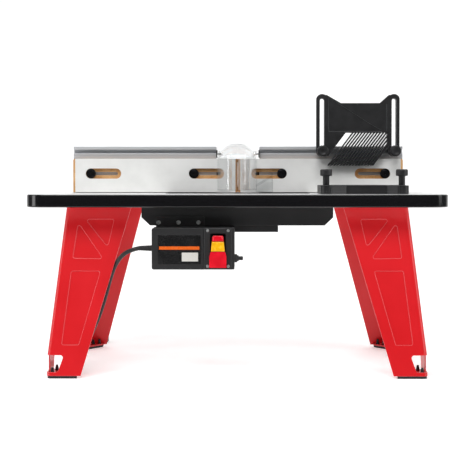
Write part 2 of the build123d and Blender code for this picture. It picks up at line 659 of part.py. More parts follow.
breaker_axis = Plane(origin=(BOX_RIGHT, *breaker_place), x_dir=(0, 1, 0), z_dir=(1, 0, 0))
with BuildPart() as breaker_body:
    with BuildSketch(breaker_axis.offset(-12)):
        RectangleRounded(18, 28, 2)
    extrude(amount=12 - BOX_WALL)
    with BuildSketch(breaker_axis.offset(-BOX_WALL)):
        Circle(5.9)
    extrude(amount=BOX_WALL + 8)
    with BuildSketch(breaker_axis):
        RegularPolygon(9.2, 6)
    extrude(amount=5)
    with BuildSketch(breaker_axis.offset(-6)):
        Circle(BREAKER_BORE)
    extrude(amount=20, mode=Mode.SUBTRACT)
save(breaker_body.part, "breaker_body")

with BuildPart() as breaker_button:
    with BuildSketch(breaker_axis.offset(-3)):
        Circle(BREAKER_BORE - 0.07)
    extrude(amount=19.5)
    fillet(breaker_button.faces().sort_by(Axis.X)[-1].edges(), 2.0)
save(breaker_button.part, "breaker_button")

relief_axis = Plane(origin=(BOX_LEFT, CORD_EXIT[1], CORD_EXIT[2]), x_dir=(0, 1, 0), z_dir=(-1, 0, 0))
relief_end = BOX_LEFT - CORD_EXIT[0]
with BuildPart() as strain_relief:
    with BuildSketch(relief_axis):
        RegularPolygon(9.6, 6)
    extrude(amount=5)
    fillet(strain_relief.faces().sort_by(Axis.X)[0].edges(), 0.8)
    with BuildSketch(relief_axis.offset(-BOX_WALL - 4)):
        Circle(5.4)
    extrude(amount=BOX_WALL + 4)
    with BuildSketch(relief_axis.offset(5)):
        Circle(6.2)
    with BuildSketch(relief_axis.offset(relief_end)):
        Circle(CORD_RADIUS + 0.5)
    loft()
save(strain_relief.part, "strain_relief")

# ---------------------------------------------------------------- fence extrusions
half_length = FACE_LENGTH - EXTRUSION_INNER
bolt_places_front = [(x, EXTRUSION_FRONT, FACE_SLOT_Z) for x in FACE_BOLT_X]
hood_screw_places = [(66.0, z) for z in (374.0, 415.0)]
profile_start = Plane.YZ.offset(EXTRUSION_INNER)
with BuildPart() as fence_extrusion_right:
    with BuildSketch(profile_start) as profile:
        with BuildLine():
            Polyline(
                (EXTRUSION_FRONT, EXTRUSION_BOTTOM),
                (FOOT_BACK, EXTRUSION_BOTTOM),
                (FOOT_BACK, EXTRUSION_BOTTOM + FOOT_THICKNESS),
                (EXTRUSION_BACK + 6, EXTRUSION_BOTTOM + FOOT_THICKNESS),
                (EXTRUSION_BACK, EXTRUSION_BOTTOM + FOOT_THICKNESS + 6),
                (EXTRUSION_BACK, EXTRUSION_TOP),
                (EXTRUSION_FRONT, EXTRUSION_TOP),
                close=True,
            )
        make_face()
        fillet(profile.vertices().group_by(Axis.Y)[-1], 1.0)
        # T-slot along the top of the front face.
        with Locations((EXTRUSION_FRONT, T_SLOT_Z)):
            Rectangle(T_SLOT_LIP * 2, T_SLOT_WIDTH, mode=Mode.SUBTRACT)
        with Locations((EXTRUSION_FRONT + T_SLOT_LIP, T_SLOT_Z)):
            Rectangle(T_CHAMBER_DEPTH, T_CHAMBER_WIDTH, align=(Align.MIN, Align.CENTER), mode=Mode.SUBTRACT)
        # Hollow chambers between the front and back walls.
        for low, high, front in ((362.0, 388.0, 2.5), (404.0, 431.5, 2.5), (390.5, 401.5, 2.5), (434.5, 451.5, 11.1)):
            with Locations((EXTRUSION_FRONT + front, low)):
                Rectangle(EXTRUSION_BACK - 2.5 - EXTRUSION_FRONT - front, high - low,
                          align=(Align.MIN, Align.MIN), mode=Mode.SUBTRACT)
    extrude(amount=half_length)
    cut_holes([(x, EXTRUSION_FRONT - 1, FACE_SLOT_Z) for x in FACE_BOLT_X], FACING_FRONT, BOLT_RADIUS + 0.2, 30)
    cut_holes([(CLAMP_X, CLAMP_Y, EXTRUSION_BOTTOM + 10)], FACING_UP, CLAMP_RADIUS + 0.3, 20)
    cut_holes([(x, EXTRUSION_BACK + 1, z) for x, z in hood_screw_places], FACING_BACK, 1.8, 6)
save(fence_extrusion_right.part, "fence_extrusion_right")

with BuildPart() as fence_extrusion_left:
    mirror(fence_extrusion_right.part, about=Plane.YZ)
save(fence_extrusion_left.part, "fence_extrusion_left")

# ---------------------------------------------------------------- sliding fence faces
with BuildPart() as face_right:
    with BuildSketch(Plane.XY.offset(FACE_BOTTOM)):
        with BuildLine():
            Polyline(
                (0.4, FENCE_FRONT + FACE_THICKNESS),
                (0.4, FENCE_FRONT + FACE_THICKNESS - 1.5),
                (FACE_BEVEL, FENCE_FRONT),
                (FACE_LENGTH - FACE_BEVEL, FENCE_FRONT),
                (FACE_LENGTH, FENCE_FRONT + FACE_BEVEL),
                (FACE_LENGTH, FENCE_FRONT + FACE_THICKNESS),
                close=True,
            )
        make_face()
    extrude(amount=FACE_TOP - FACE_BOTTOM)
    top_outer = face_right.edges().filter_by(Axis.Y).sort_by(Axis.X)[-2:].sort_by(Axis.Z)[-1]
    fillet(top_outer, 5.0)
    with BuildSketch(Plane.XZ.offset(-FENCE_FRONT)):
        with Locations(*[(x, FACE_SLOT_Z) for x in FACE_SLOT_CENTRES]):
            SlotOverall(FACE_SLOT_LENGTH, FACE_SLOT_HEIGHT)
    extrude(amount=-FACE_SLOT_DEPTH, mode=Mode.SUBTRACT)
    with BuildSketch(Plane.XZ.offset(-FENCE_FRONT)):
        with Locations(*[(x, FACE_SLOT_Z) for x in FACE_SLOT_CENTRES]):
            SlotOverall(FACE_SLOT_LENGTH - FACE_SLOT_HEIGHT + FACE_SLOT_THROUGH, FACE_SLOT_THROUGH)
    extrude(amount=-FACE_THICKNESS, mode=Mode.SUBTRACT)
save(face_right.part, "face_right")

with BuildPart() as face_left:
    mirror(face_right.part, about=Plane.YZ)
save(face_left.part, "face_left")

bolt_head_back = FENCE_FRONT + FACE_SLOT_DEPTH - 0.3
face_bolt_places = [(side * x, FACE_SLOT_Z) for side in (-1, 1) for x in FACE_BOLT_X]
with BuildPart() as face_bolts:
    for x, z in face_bolt_places:
        with BuildSketch(Plane.XZ.offset(-bolt_head_back)):
            with Locations((x, z)):
                Circle(FACE_BOLT_HEAD)
        extrude(amount=4.6)
    fillet(face_bolts.faces().group_by(Axis.Y)[0].edges(), 3.4)
    cut_holes([(x, bolt_head_back - 4.6, z) for x, z in face_bolt_places], FACING_FRONT, 2.0, 2.4)
    with Locations(*[Location((x, bolt_head_back, z), FACING_FRONT) for x, z in face_bolt_places]):
        Cylinder(BOLT_RADIUS, EXTRUSION_BACK + 9 - bolt_head_back, align=(Align.CENTER, Align.CENTER, Align.MAX))
save(face_bolts.part, "face_bolts")

with BuildPart() as face_nuts:
    for x, z in face_bolt_places:
        with BuildSketch(Plane.XZ.offset(-EXTRUSION_BACK)):
            with Locations((x, z)):
                Circle(7.0)
        extrude(amount=-1.2)
        with BuildSketch(Plane.XZ.offset(-EXTRUSION_BACK - 1.2)):
            with Locations((x, z)):
                RegularPolygon(5.8, 6)
        extrude(amount=-5.0)
    cut_holes([(x, EXTRUSION_BACK - 1, z) for x, z in face_bolt_places], FACING_FRONT, BOLT_RADIUS + 0.02, 10)
save(face_nuts.part, "face_nuts")

# ---------------------------------------------------------------- dust hood behind the gap
hood_box_back = 85.0
hood_bottom, hood_top = 358.0, 426.0
hood_middle = (hood_bottom + hood_top) / 2
hood_tall = hood_top - hood_bottom
duct_front = 34.0
port_axis = Plane(origin=(0, hood_box_back - PORT_WALL, PORT_Z), x_dir=(1, 0, 0), z_dir=(0, 1, 0))
with BuildPart() as dust_hood:
    with BuildSketch(Plane.XZ.offset(-EXTRUSION_BACK)):
        with Locations((0, hood_middle + 6)):
            RectangleRounded(156, hood_tall - 12, 5)
    extrude(amount=-PORT_WALL)
    with BuildSketch(Plane.XZ.offset(-duct_front)):
        with Locations((0, hood_middle)):
            Rectangle(2 * HOOD_HALF, hood_tall)
    extrude(amount=-(hood_box_back - duct_front))
    fillet(dust_hood.faces().sort_by(Axis.Y)[-1].edges(), 7)
    with BuildSketch(port_axis):
        Circle(PORT_RADIUS)
    extrude(amount=PORT_END - hood_box_back + PORT_WALL)
    with BuildSketch(Plane.XZ.offset(-duct_front + 1)):
        with Locations((0, hood_middle)):
            Rectangle(2 * (HOOD_HALF - PORT_WALL), hood_tall - 2 * PORT_WALL)
    extrude(amount=-(hood_box_back - duct_front - PORT_WALL + 1), mode=Mode.SUBTRACT)
    with BuildSketch(port_axis):
        Circle(PORT_RADIUS - PORT_WALL)
    extrude(amount=PORT_END, mode=Mode.SUBTRACT)
    hood_holes = [(side * x, EXTRUSION_BACK + 4, z) for side in (-1, 1) for x, z in hood_screw_places]
    cut_holes(hood_holes, FACING_BACK, 2.0, 6)
save(dust_hood.part, "dust_hood")

with BuildPart() as hood_screws:
    screw_seat = EXTRUSION_BACK + PORT_WALL
    add_pan_screws([(x, screw_seat, z) for x, y, z in hood_holes], FACING_BACK, 5.0, 1.75, 3.6, 2.0)
save(hood_screws.part, "hood_screws")

# ---------------------------------------------------------------- fence clamps
foot_top = EXTRUSION_BOTTOM + FOOT_THICKNESS
with BuildPart() as fence_bolts:
    for side in (-1, 1):
        with Locations((side * CLAMP_X, CLAMP_Y, UNDERSIDE - 0.3)):
            Cylinder(8.5, 3.5, align=(Align.CENTER, Align.CENTER, Align.MAX))
            Cylinder(CLAMP_RADIUS, foot_top + 20 - UNDERSIDE, align=(Align.CENTER, Align.CENTER, Align.MIN))
save(fence_bolts.part, "fence_bolts")


def clamp_knob(side):
    """Six-lobed clamp knob that screws down on the fence foot."""
    with BuildPart() as knob:
        with BuildSketch(Plane.XY.offset(foot_top + 0.2)):
            with Locations((side * CLAMP_X, CLAMP_Y)):
                Circle(8)
        extrude(amount=8)
        with BuildSketch(Plane.XY.offset(foot_top + 8.2)):
            with Locations((side * CLAMP_X, CLAMP_Y)):
                Circle(17)
                with PolarLocations(20.5, 6):
                    Circle(7, mode=Mode.SUBTRACT)
        extrude(amount=15)
        fillet(knob.faces().sort_by(Axis.Z)[-1].edges(), 2)
        cut_holes([(side * CLAMP_X, CLAMP_Y, foot_top + 20.4)], FACING_UP, CLAMP_RADIUS + 0.06, 25)
    return knob.part


for side, name in ((-1, "fence_knob_left"), (1, "fence_knob_right")):
    save(clamp_knob(side), name)

# ---------------------------------------------------------------- clear cutter guard
pivot_y, pivot_z = GUARD_PIVOT
arm_inner = EXTRUSION_INNER - 2.0


def guard_body(inset, bottom, back):
    """Half-oval column under a vault that falls towards the front."""
    reach = back - GUARD_BACK + GUARD_REACH
    left, right = GUARD_X - GUARD_HALF + inset, GUARD_X + GUARD_HALF - inset
    shoulder, crown = GUARD_SIDE_Z - inset, GUARD_CROWN_Z - inset
    below = GUARD_BOTTOM - reach
    with BuildPart() as column:
        with BuildSketch(Plane.XY.offset(bottom)):
            with Locations((GUARD_X, GUARD_BACK)):
                Ellipse(GUARD_HALF - inset, GUARD_REACH - inset)
            with Locations((GUARD_X, back)):
                Rectangle(3 * GUARD_HALF, 3 * GUARD_REACH, align=(Align.CENTER, Align.MAX), mode=Mode.INTERSECT)
        extrude(amount=GUARD_CROWN_Z - bottom + 10)
        with BuildSketch(Plane.XZ.offset(-back)):
            with BuildLine():
                Polyline((left, shoulder), (left, below), (right, below), (right, shoulder))
                ThreePointArc((right, shoulder), (GUARD_X, crown), (left, shoulder))
            make_face()
        extrude(amount=reach + 2, dir=(0, -GUARD_REACH, -GUARD_FALL), mode=Mode.INTERSECT)
    return column.part


guard_hollow = guard_body(GUARD_WALL, GUARD_BOTTOM - 1, GUARD_BACK + 1)
with BuildPart() as guard_hood:
    add(guard_body(0, GUARD_BOTTOM, GUARD_BACK))
    add(guard_hollow, mode=Mode.SUBTRACT)
    # Upright plate behind the vault, with an ear at each end for the hinge pins.
    with BuildSketch(Plane.XZ.offset(-GUARD_BACK - GUARD_WALL)):
        with BuildLine():
            left, right = GUARD_X - GUARD_HALF, GUARD_X + GUARD_HALF
            Polyline((left, 454), (left, 429), (right, 429), (right, 454))
            ThreePointArc((right, 454), (GUARD_X, GUARD_CROWN_Z), (left, 454))
        make_face()
    extrude(amount=GUARD_WALL + 1)
    for end in (GUARD_X - GUARD_HALF, GUARD_X + GUARD_HALF - 6):
        with BuildSketch(Plane.YZ.offset(end)):
            with Locations((pivot_y, pivot_z)):
                Circle(5.2)
            with Locations((GUARD_BACK, pivot_z)):
                Rectangle(pivot_y - GUARD_BACK, 10.4, align=(Align.MIN, Align.CENTER))
        extrude(amount=6)
    with Locations((0, pivot_y, pivot_z)):
        Cylinder(GUARD_PIN_RADIUS + 0.06, 120, rotation=(0, 90, 0), mode=Mode.SUBTRACT)
save(guard_hood.part, "guard_hood")

wing_left = GUARD_X + GUARD_HALF - 1.0
with BuildPart() as guard_wing:
    with BuildSketch(Plane.XZ.offset(-15.5)):
        with BuildLine():
            Polyline((wing_left, 357.5), (73, 357.5), (73, 396), (68, 401), (wing_left, 401), close=True)
        make_face()
    extrude(amount=2.5)
    with BuildSketch(Plane.XZ.offset(-13.2)):
        with BuildLine():
            Polyline((wing_left + 0.5, 369.0), (73, 389.5), (73, 392.5), (wing_left + 0.5, 372.0), close=True)
        make_face()
    extrude(amount=7)
save(guard_wing.part, "guard_wing")

with BuildPart() as guard_arms:
    for start in (arm_inner, -EXTRUSION_INNER):
        with BuildSketch(Plane.YZ.offset(start)):
            with Locations((19, 430)):
                Rectangle(31, 16, align=(Align.MIN, Align.MIN))
            with Locations((pivot_y, pivot_z)):
                Circle(GUARD_PIN_RADIUS + 0.02, mode=Mode.SUBTRACT)
        extrude(amount=2.0)
save(guard_arms.part, "guard_arms")

pin_length = 10.0
with BuildPart() as guard_pins:
    for start in (EXTRUSION_INNER - pin_length, -EXTRUSION_INNER):
        with BuildSketch(Plane.YZ.offset(start)):
            with Locations((pivot_y, pivot_z)):
                Circle(GUARD_PIN_RADIUS)
        extrude(amount=pin_length)
save(guard_pins.part, "guard_pins")

# ---------------------------------------------------------------- featherboards
lean = tan(radians(FINGER_LEAN))
first_root = -12.0
upright_inner = BOARD_SLOT_X - BOARD_UPRIGHT


def featherboard(plane):
    """Featherboard drawn on a plane: x across, y towards the tail, thickness along the normal.

    The origin is midway between the two slots, level with the ends nearest the fingers."""
    block_reach = (BOARD_ROOT - BOARD_TIP) * lean
    last_tip = first_root - block_reach + FINGERS * FINGER_PITCH
    join_y = BOARD_TIP + (upright_inner - last_tip) / lean
    with BuildPart() as board:
        with BuildSketch(plane):
            for side in (-1, 1):
                with Locations((side * BOARD_SLOT_X, BOARD_TAIL)):
                    RectangleRounded(2 * BOARD_UPRIGHT, BOARD_TAIL - BOARD_FOOT, BOARD_UPRIGHT - 0.5,
                                     align=(Align.CENTER, Align.MAX))
            with BuildLine():
                Polyline(
                    (-upright_inner - 4, 119), (-upright_inner, 117), (-35.7, BOARD_BODY_TOP),
                    (46.0, BOARD_BODY_TOP), (upright_inner, 117), (upright_inner + 4, 119),
                    (upright_inner + 4, join_y), (upright_inner, join_y), (last_tip, BOARD_TIP),
                    (first_root - block_reach, BOARD_TIP), (first_root, BOARD_ROOT),
                    (-25.5, BOARD_ROOT), (-62.0, -9.5), (-upright_inner - 4, -9.0), close=True,
                )
            make_face()
            with Locations(*[(side * BOARD_SLOT_X, BOARD_SLOT_RUN / 2) for side in (-1, 1)]):
                SlotCenterToCenter(BOARD_SLOT_RUN, 2 * BOARD_SLOT_RADIUS, rotation=90, mode=Mode.SUBTRACT)
        extrude(amount=BOARD_THICKNESS)
        with BuildSketch(plane) as finger_gaps:
            for number in range(FINGERS - 1):
                left = first_root + number * FINGER_PITCH + FINGER_WIDTH
                right = left + FINGER_PITCH - FINGER_WIDTH
                drop = block_reach + 2 * lean
                with BuildLine():
                    Polyline((left, BOARD_ROOT), (right, BOARD_ROOT), (right - drop, BOARD_TIP - 2),
                             (left - drop, BOARD_TIP - 2), close=True)
                make_face()
            with Locations((upright_inner - 2, 0)):
                Rectangle(300, 300, align=(Align.MAX, Align.CENTER), mode=Mode.INTERSECT)
        extrude(amount=BOARD_THICKNESS, mode=Mode.SUBTRACT)
        # Shallow stepped panel on both faces.
        for level, depth in ((0.0, 1.2), (BOARD_THICKNESS, -1.2)):
            with BuildSketch(plane.offset(level)):
                with BuildLine():
                    Polyline((-61.5, 41.5), (-61.5, 113.5), (20.5, 60.5), (49.4, 43.8), (51, 41.5), close=True)
                make_face()
                with Locations((60.0, 71)):
                    Rectangle(1.2, 55)
            extrude(amount=depth, mode=Mode.SUBTRACT)
    return board.part


def hand_knob(plane):
    """Fluted hand knob on a tall stem, standing on the plane, with a blind bore for its bolt."""
    with BuildPart() as knob:
        with BuildSketch(plane):
            Circle(KNOB_STEM_RADIUS)
        extrude(amount=KNOB_STEM_LENGTH)
        with BuildSketch(plane.offset(KNOB_STEM_LENGTH)):
            Circle(KNOB_HEAD_RADIUS)
            with PolarLocations(KNOB_HEAD_RADIUS + 2.4, 8):
                Circle(3.4, mode=Mode.SUBTRACT)
        extrude(amount=KNOB_HEAD_LENGTH)
        cap_axis = Axis(plane.origin, plane.z_dir)
        fillet(knob.faces().sort_by(cap_axis)[-1].edges(), 1.2)
        with BuildSketch(plane):
            Circle(KNOB_BORE)
        extrude(amount=KNOB_STEM_LENGTH + 6, mode=Mode.SUBTRACT)
    return knob.part


bolt_xs = (BOARD_X - BOARD_SLOT_X, BOARD_X + BOARD_SLOT_X)
fence_board_front = FENCE_BOARD_BACK - BOARD_THICKNESS
fence_board_plane = Plane(origin=(BOARD_X, FENCE_BOARD_BACK, T_SLOT_Z), x_dir=(1, 0, 0), z_dir=(0, -1, 0))
table_board_plane = Plane(
    origin=(BOARD_X, TABLE_BOARD_TIP_Y + BOARD_TIP, TABLE_BOARD_Z + BOARD_THICKNESS),
    x_dir=(1, 0, 0),
    z_dir=(0, 0, -1),
)
save(featherboard(fence_board_plane), "fence_featherboard")
save(featherboard(table_board_plane), "table_featherboard")
for x, side in zip(bolt_xs, ("left", "right")):
    on_fence = Plane(origin=(x, fence_board_front - 0.3, T_SLOT_Z), x_dir=(1, 0, 0), z_dir=(0, -1, 0))
    save(hand_knob(on_fence), f"fence_board_knob_{side}")
    on_table = Plane(origin=(x, TRACK_Y, TABLE_BOARD_Z + BOARD_THICKNESS + 0.3))
    save(hand_knob(on_table), f"table_board_knob_{side}")

bolt_reach = KNOB_STEM_LENGTH + 5
t_head_front = EXTRUSION_FRONT + T_SLOT_LIP + 0.4
with BuildPart() as fence_board_bolts:
    for x in bolt_xs:
        with BuildSketch(Plane.XZ.offset(-t_head_front - 4.6)):
            with Locations((x, T_SLOT_Z)):
                Rectangle(14, 14.8)
        extrude(amount=4.6)
        with BuildSketch(Plane.XZ.offset(-t_head_front)):
            with Locations((x, T_SLOT_Z)):
                Circle(BOLT_RADIUS)
        extrude(amount=t_head_front - fence_board_front + bolt_reach)
        # Spacer collar between the extrusion and the board.
        with BuildSketch(Plane.XZ.offset(-EXTRUSION_FRONT + 0.3)):
            with Locations((x, T_SLOT_Z)):
                Circle(7)
        extrude(amount=EXTRUSION_FRONT - FENCE_BOARD_BACK - 0.6)
save(fence_board_bolts.part, "fence_board_bolts")

t_head_top = TOP_HEIGHT - MITRE_DEPTH - 0.4
with BuildPart() as table_board_bolts:
    for x in bolt_xs:
        with BuildSketch(Plane.XY.offset(t_head_top - 3.6)):
            with Locations((x, TRACK_Y)):
                Rectangle(14, UNDERCUT_WIDTH - 0.9)
        extrude(amount=3.6)
        with BuildSketch(Plane.XY.offset(t_head_top)):
            with Locations((x, TRACK_Y)):
                Circle(BOLT_RADIUS)
        extrude(amount=TABLE_BOARD_Z + BOARD_THICKNESS - t_head_top + bolt_reach)
save(table_board_bolts.part, "table_board_bolts")

# ---------------------------------------------------------------- mains lead
# Points of the lead from the strain relief down behind the front leg and back along the bench.
lead_route = [
    CORD_EXIT,
    (-209, -173.6, 246),
    (-228, -168.5, 234.5),
    (-243, -159.5, 212),
    (-253, -153, 183),
    (-262, -149.5, 150),
    (-273, -148, 116),
    (-288, -145, 82),
    (-303, -138, 48),
    (-321, -121, 19),
    (-342, -88, CORD_FLOOR_Z),
    (-354, -32, CORD_FLOOR_Z),
    (-359, 40, CORD_FLOOR_Z),
    (-371, 110, CORD_FLOOR_Z),
    (-388, 170, CORD_FLOOR_Z),
    (-412, 228, CORD_FLOOR_Z),
    (COIL_ENTRY_X, COIL_CENTRE[1], CORD_FLOOR_Z),
]
tail_top = CORD_FLOOR_Z + CORD_DIAMETER
tail_route = [
    (COIL_ENTRY_X, COIL_CENTRE[1], tail_top),
    (COIL_ENTRY_X, COIL_CENTRE[1] + 24, tail_top - 1),
    (COIL_ENTRY_X + 1, COIL_CENTRE[1] + 50, CORD_FLOOR_Z + 3),
    (COIL_ENTRY_X + 2, COIL_CENTRE[1] + 72, CORD_FLOOR_Z + 3),
]


def corner_radii(points):
    """Largest tidy arc for each inner corner: 0.45 of the shorter run over the half-turn's tangent."""
    radii = []
    for before, here, after in zip(points, points[1:], points[2:]):
        run_in = Vector(*here) - Vector(*before)
        run_out = Vector(*after) - Vector(*here)
        half_turn = radians(run_in.get_angle(run_out)) / 2
        radii.append(0.45 * min(run_in.length, run_out.length) / tan(half_turn))
    return radii


def cord_tube(points, name):
    """Round cord swept along straight runs joined by tangent arcs."""
    radii = corner_radii(points)
    with BuildPart() as tube:
        with BuildLine() as path:
            FilletPolyline(*points, radius=radii)
        with BuildSketch(Plane(origin=path.line @ 0, z_dir=path.line % 0)):
            Circle(CORD_RADIUS)
        sweep()
    length = sum(edge.length for edge in path.edges())
    expected = pi * CORD_RADIUS**2 * length
    print(name, "length", round(length, 1), "smallest radius", round(min(radii), 1),
          "radii", [round(radius) for radius in radii], "volume ratio", round(tube.part.volume / expected, 4))
    return tube.part


lead_tube = cord_tube(lead_route, "lead")
tail_tube = cord_tube(tail_route, "tail")
with BuildPart() as power_cord:
    add(lead_tube)
    add(tail_tube)
save(power_cord.part, "power_cord")

coil_width = COIL_RINGS * CORD_DIAMETER
coil_height = COIL_LAYERS * CORD_DIAMETER
with BuildPart() as cord_coil:
    with BuildSketch(Plane.XZ.offset(-COIL_CENTRE[1])):
        with Locations((COIL_CENTRE[0] + COIL_INNER_TURN - CORD_RADIUS, CORD_FLOOR_Z - CORD_RADIUS)):
            RectangleRounded(coil_width, coil_height, CORD_RADIUS - 0.1, align=(Align.MIN, Align.MIN))
    revolve(axis=Axis((*COIL_CENTRE, 0), (0, 0, 1)))
save(cord_coil.part, "cord_coil")
middle_turn = COIL_INNER_TURN + CORD_DIAMETER * (COIL_RINGS - 1) / 2
print("coil length", round(COIL_TURNS * 2 * pi * middle_turn), "mm")

tie_x = COIL_CENTRE[0] + COIL_INNER_TURN + CORD_DIAMETER / 2
with BuildPart() as cord_tie:
    with BuildSketch(Plane.XZ.offset(-COIL_CENTRE[1] + 7)):
        with Locations((tie_x, CORD_FLOOR_Z - CORD_RADIUS + coil_height / 2)):
            RectangleRounded(coil_width + 2.0, coil_height + 1.6, 4)
            RectangleRounded(coil_width + 0.4, coil_height + 0.2, 3.5, mode=Mode.SUBTRACT)
    extrude(amount=-14)
save(cord_tie.part, "cord_tie")

plug_start = tail_route[-1]
plug_axis = Plane(origin=plug_start, x_dir=(1, 0, 0), z_dir=(0, 1, 0))
plug_drop = plug_start[2]
with BuildPart() as plug:
    with BuildSketch(plug_axis):
        Circle(CORD_RADIUS + 0.8)
    with BuildSketch(plug_axis.offset(14)):
        Circle(CORD_RADIUS + 2.2)
    loft()
    with BuildSketch(plug_axis.offset(14)):
        with Locations((0, plug_drop - 11)):
            RectangleRounded(27, 22, 7)
    extrude(amount=28)
    fillet(plug.faces().sort_by(Axis.Y)[-1].edges(), 2)
    with BuildSketch(plug_axis.offset(40)):
        with Locations((-6.3, plug_drop - 13), (6.3, plug_drop - 13)):
            Rectangle(1.6, 6.4)
        with Locations((0, plug_drop - 5.5)):
            Circle(2.4)
    extrude(amount=19)
save(plug.part, "plug")
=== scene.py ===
# %% [markdown]
# # A benchtop router table
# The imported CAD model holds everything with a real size: table top, legs, fence, guard, switch.
# It comes in first, and nothing in it is moved. The cells below give every part its real finish, and
# build again, as smooth surfaces, the pieces whose shape a plain CAD solid can't show.

import bpy
import numpy as np
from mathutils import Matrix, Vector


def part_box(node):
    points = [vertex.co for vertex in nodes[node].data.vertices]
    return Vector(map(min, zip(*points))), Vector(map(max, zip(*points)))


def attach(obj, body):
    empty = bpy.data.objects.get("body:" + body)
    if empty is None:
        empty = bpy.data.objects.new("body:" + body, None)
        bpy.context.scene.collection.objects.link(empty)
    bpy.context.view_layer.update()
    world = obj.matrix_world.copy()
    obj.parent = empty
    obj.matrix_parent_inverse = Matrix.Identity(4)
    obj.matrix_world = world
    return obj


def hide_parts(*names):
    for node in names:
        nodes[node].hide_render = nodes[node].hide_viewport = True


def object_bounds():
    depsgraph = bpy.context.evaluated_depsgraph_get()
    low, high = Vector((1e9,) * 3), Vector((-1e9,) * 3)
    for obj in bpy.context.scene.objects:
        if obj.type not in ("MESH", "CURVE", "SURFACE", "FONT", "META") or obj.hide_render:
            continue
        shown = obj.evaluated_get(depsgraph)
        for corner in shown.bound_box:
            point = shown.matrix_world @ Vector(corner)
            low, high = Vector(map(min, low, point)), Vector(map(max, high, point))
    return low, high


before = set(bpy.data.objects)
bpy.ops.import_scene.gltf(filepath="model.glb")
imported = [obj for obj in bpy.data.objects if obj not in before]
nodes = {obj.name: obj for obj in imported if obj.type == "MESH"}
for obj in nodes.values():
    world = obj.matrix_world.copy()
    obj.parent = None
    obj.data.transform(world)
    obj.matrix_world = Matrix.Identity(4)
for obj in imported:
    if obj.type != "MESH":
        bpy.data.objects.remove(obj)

MM = 0.001
cad_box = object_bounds()
print("CAD box in mm:", [[round(c / MM, 1) for c in corner] for corner in cad_box])

# %% [markdown]
# ## Camera
# The table is seen square from the front, from a little above its top, so its edge shows as one band.
# A long lens at 2.3 m keeps the legs nearly upright. Half of the fall below the horizon is a small tilt
# of the camera, and half is a small lens shift, which keeps upright edges upright. The camera stands a
# little to the right of centre, turned back to the middle of the table's front edge.

# %% Camera
SENSOR = 36.0
LENS = 90.4
EYE = (0.017, -2.503, 0.3928)
FALL = 0.1306
TILT_SHARE = 0.5

camera_data = bpy.data.cameras.new("camera")
camera_data.sensor_width = SENSOR
camera_data.lens = LENS
camera_data.clip_start = 0.1
camera_data.clip_end = 50
tilt = np.arctan(FALL * TILT_SHARE * SENSOR / LENS)
turn = np.arctan2(EYE[0], cad_box[0][1] - EYE[1])
camera_data.shift_y = -FALL * (1 - TILT_SHARE)
camera = bpy.data.objects.new("camera", camera_data)
camera.location = EYE
camera.rotation_euler = (np.pi / 2 - tilt, 0, turn)
bpy.context.scene.collection.objects.link(camera)
bpy.context.scene.camera = camera
print("tilt in degrees:", round(float(np.degrees(tilt)), 2))

# %% [markdown]
# ## Colours and nodes
# Real colours are written down as sRGB hex values. Shaders work in linear light, so one function turns
# them over. Another adds one shader node with its settings and links, which is all that a tree needs.

# %% Colour and node helpers
EDGE_ROUNDING = 0.8 * MM


def linear(hex_colour):
    """Linear red, green, blue and alpha of an sRGB hex value: a straight toe, then a 2.4 power."""
    srgb = np.array([int(hex_colour[i : i + 2], 16) for i in (0, 2, 4)]) / 255
    rgb = np.where(srgb <= 0.04045, srgb / 12.92, ((srgb + 0.055) / 1.055) ** 2.4)
    return (*rgb.tolist(), 1.0)


def add(tree, kind, inputs=None, **settings):
    """Adds one shader node; each input is a plain value, or a socket that gets linked to it."""
    made = tree.nodes.new("ShaderNode" + kind)
    for name, value in settings.items():
        setattr(made, name, value)
    for key, value in (inputs or {}).items():
        if isinstance(value, bpy.types.NodeSocket):
            tree.links.new(value, made.inputs[key])
        else:
            made.inputs[key].default_value = value
    return made


def start_material(name, **shader_values):
    """A new material with its Principled shader, and the object's own coordinates in metres."""
    material = bpy.data.materials.new(name)
    material.use_nodes = True
    tree = material.node_tree
    tree.nodes.clear()
    place = add(tree, "TexCoord").outputs["Object"]
    sockets = {key.replace("_", " "): value for key, value in shader_values.items()}
    shader = add(tree, "BsdfPrincipled", sockets)
    add(tree, "OutputMaterial", {"Surface": shader.outputs["BSDF"]})
    return material, tree, place, shader


def noise(tree, place, size_mm, stretch=(1, 1, 1), detail=3.0):
    """Noise with lumps about size_mm across; a stretch of 30 along X draws them out into streaks."""
    scale = [1000 / size_mm / s for s in stretch]
    mapped = add(tree, "Mapping", {"Vector": place, "Scale": scale})
    return add(tree, "TexNoise", {"Vector": mapped.outputs[0], "Scale": 1.0, "Detail": detail}).outputs[0]


def spread(tree, value, low, high, reach=0.18):
    """A noise value, which keeps near one half, spread out to run from low to high."""
    ends = {"From Min": 0.5 - reach, "From Max": 0.5 + reach, "To Min": low, "To Max": high}
    return add(tree, "MapRange", {"Value": value, **ends}).outputs[0]


def mix(tree, share, first, second):
    """Colour that goes from the first to the second as the share goes from 0 to 1."""
    return add(tree, "Mix", {0: share, 6: first, 7: second}, data_type="RGBA").outputs[2]


def edge_share(tree, radius):
    """One along sharp edges and zero on flats: how far the rounded normal leans from the face's own."""
    rounded = add(tree, "Bevel", {"Radius": radius}, samples=8).outputs[0]
    own = add(tree, "NewGeometry").outputs["Normal"]
    flatness = add(tree, "VectorMath", {0: rounded, 1: own}, operation="DOT_PRODUCT").outputs["Value"]
    limits = {"Value": flatness, "From Min": 0.995, "From Max": 0.90, "To Min": 0.0, "To Max": 1.0}
    return rounded, add(tree, "MapRange", limits).outputs[0]


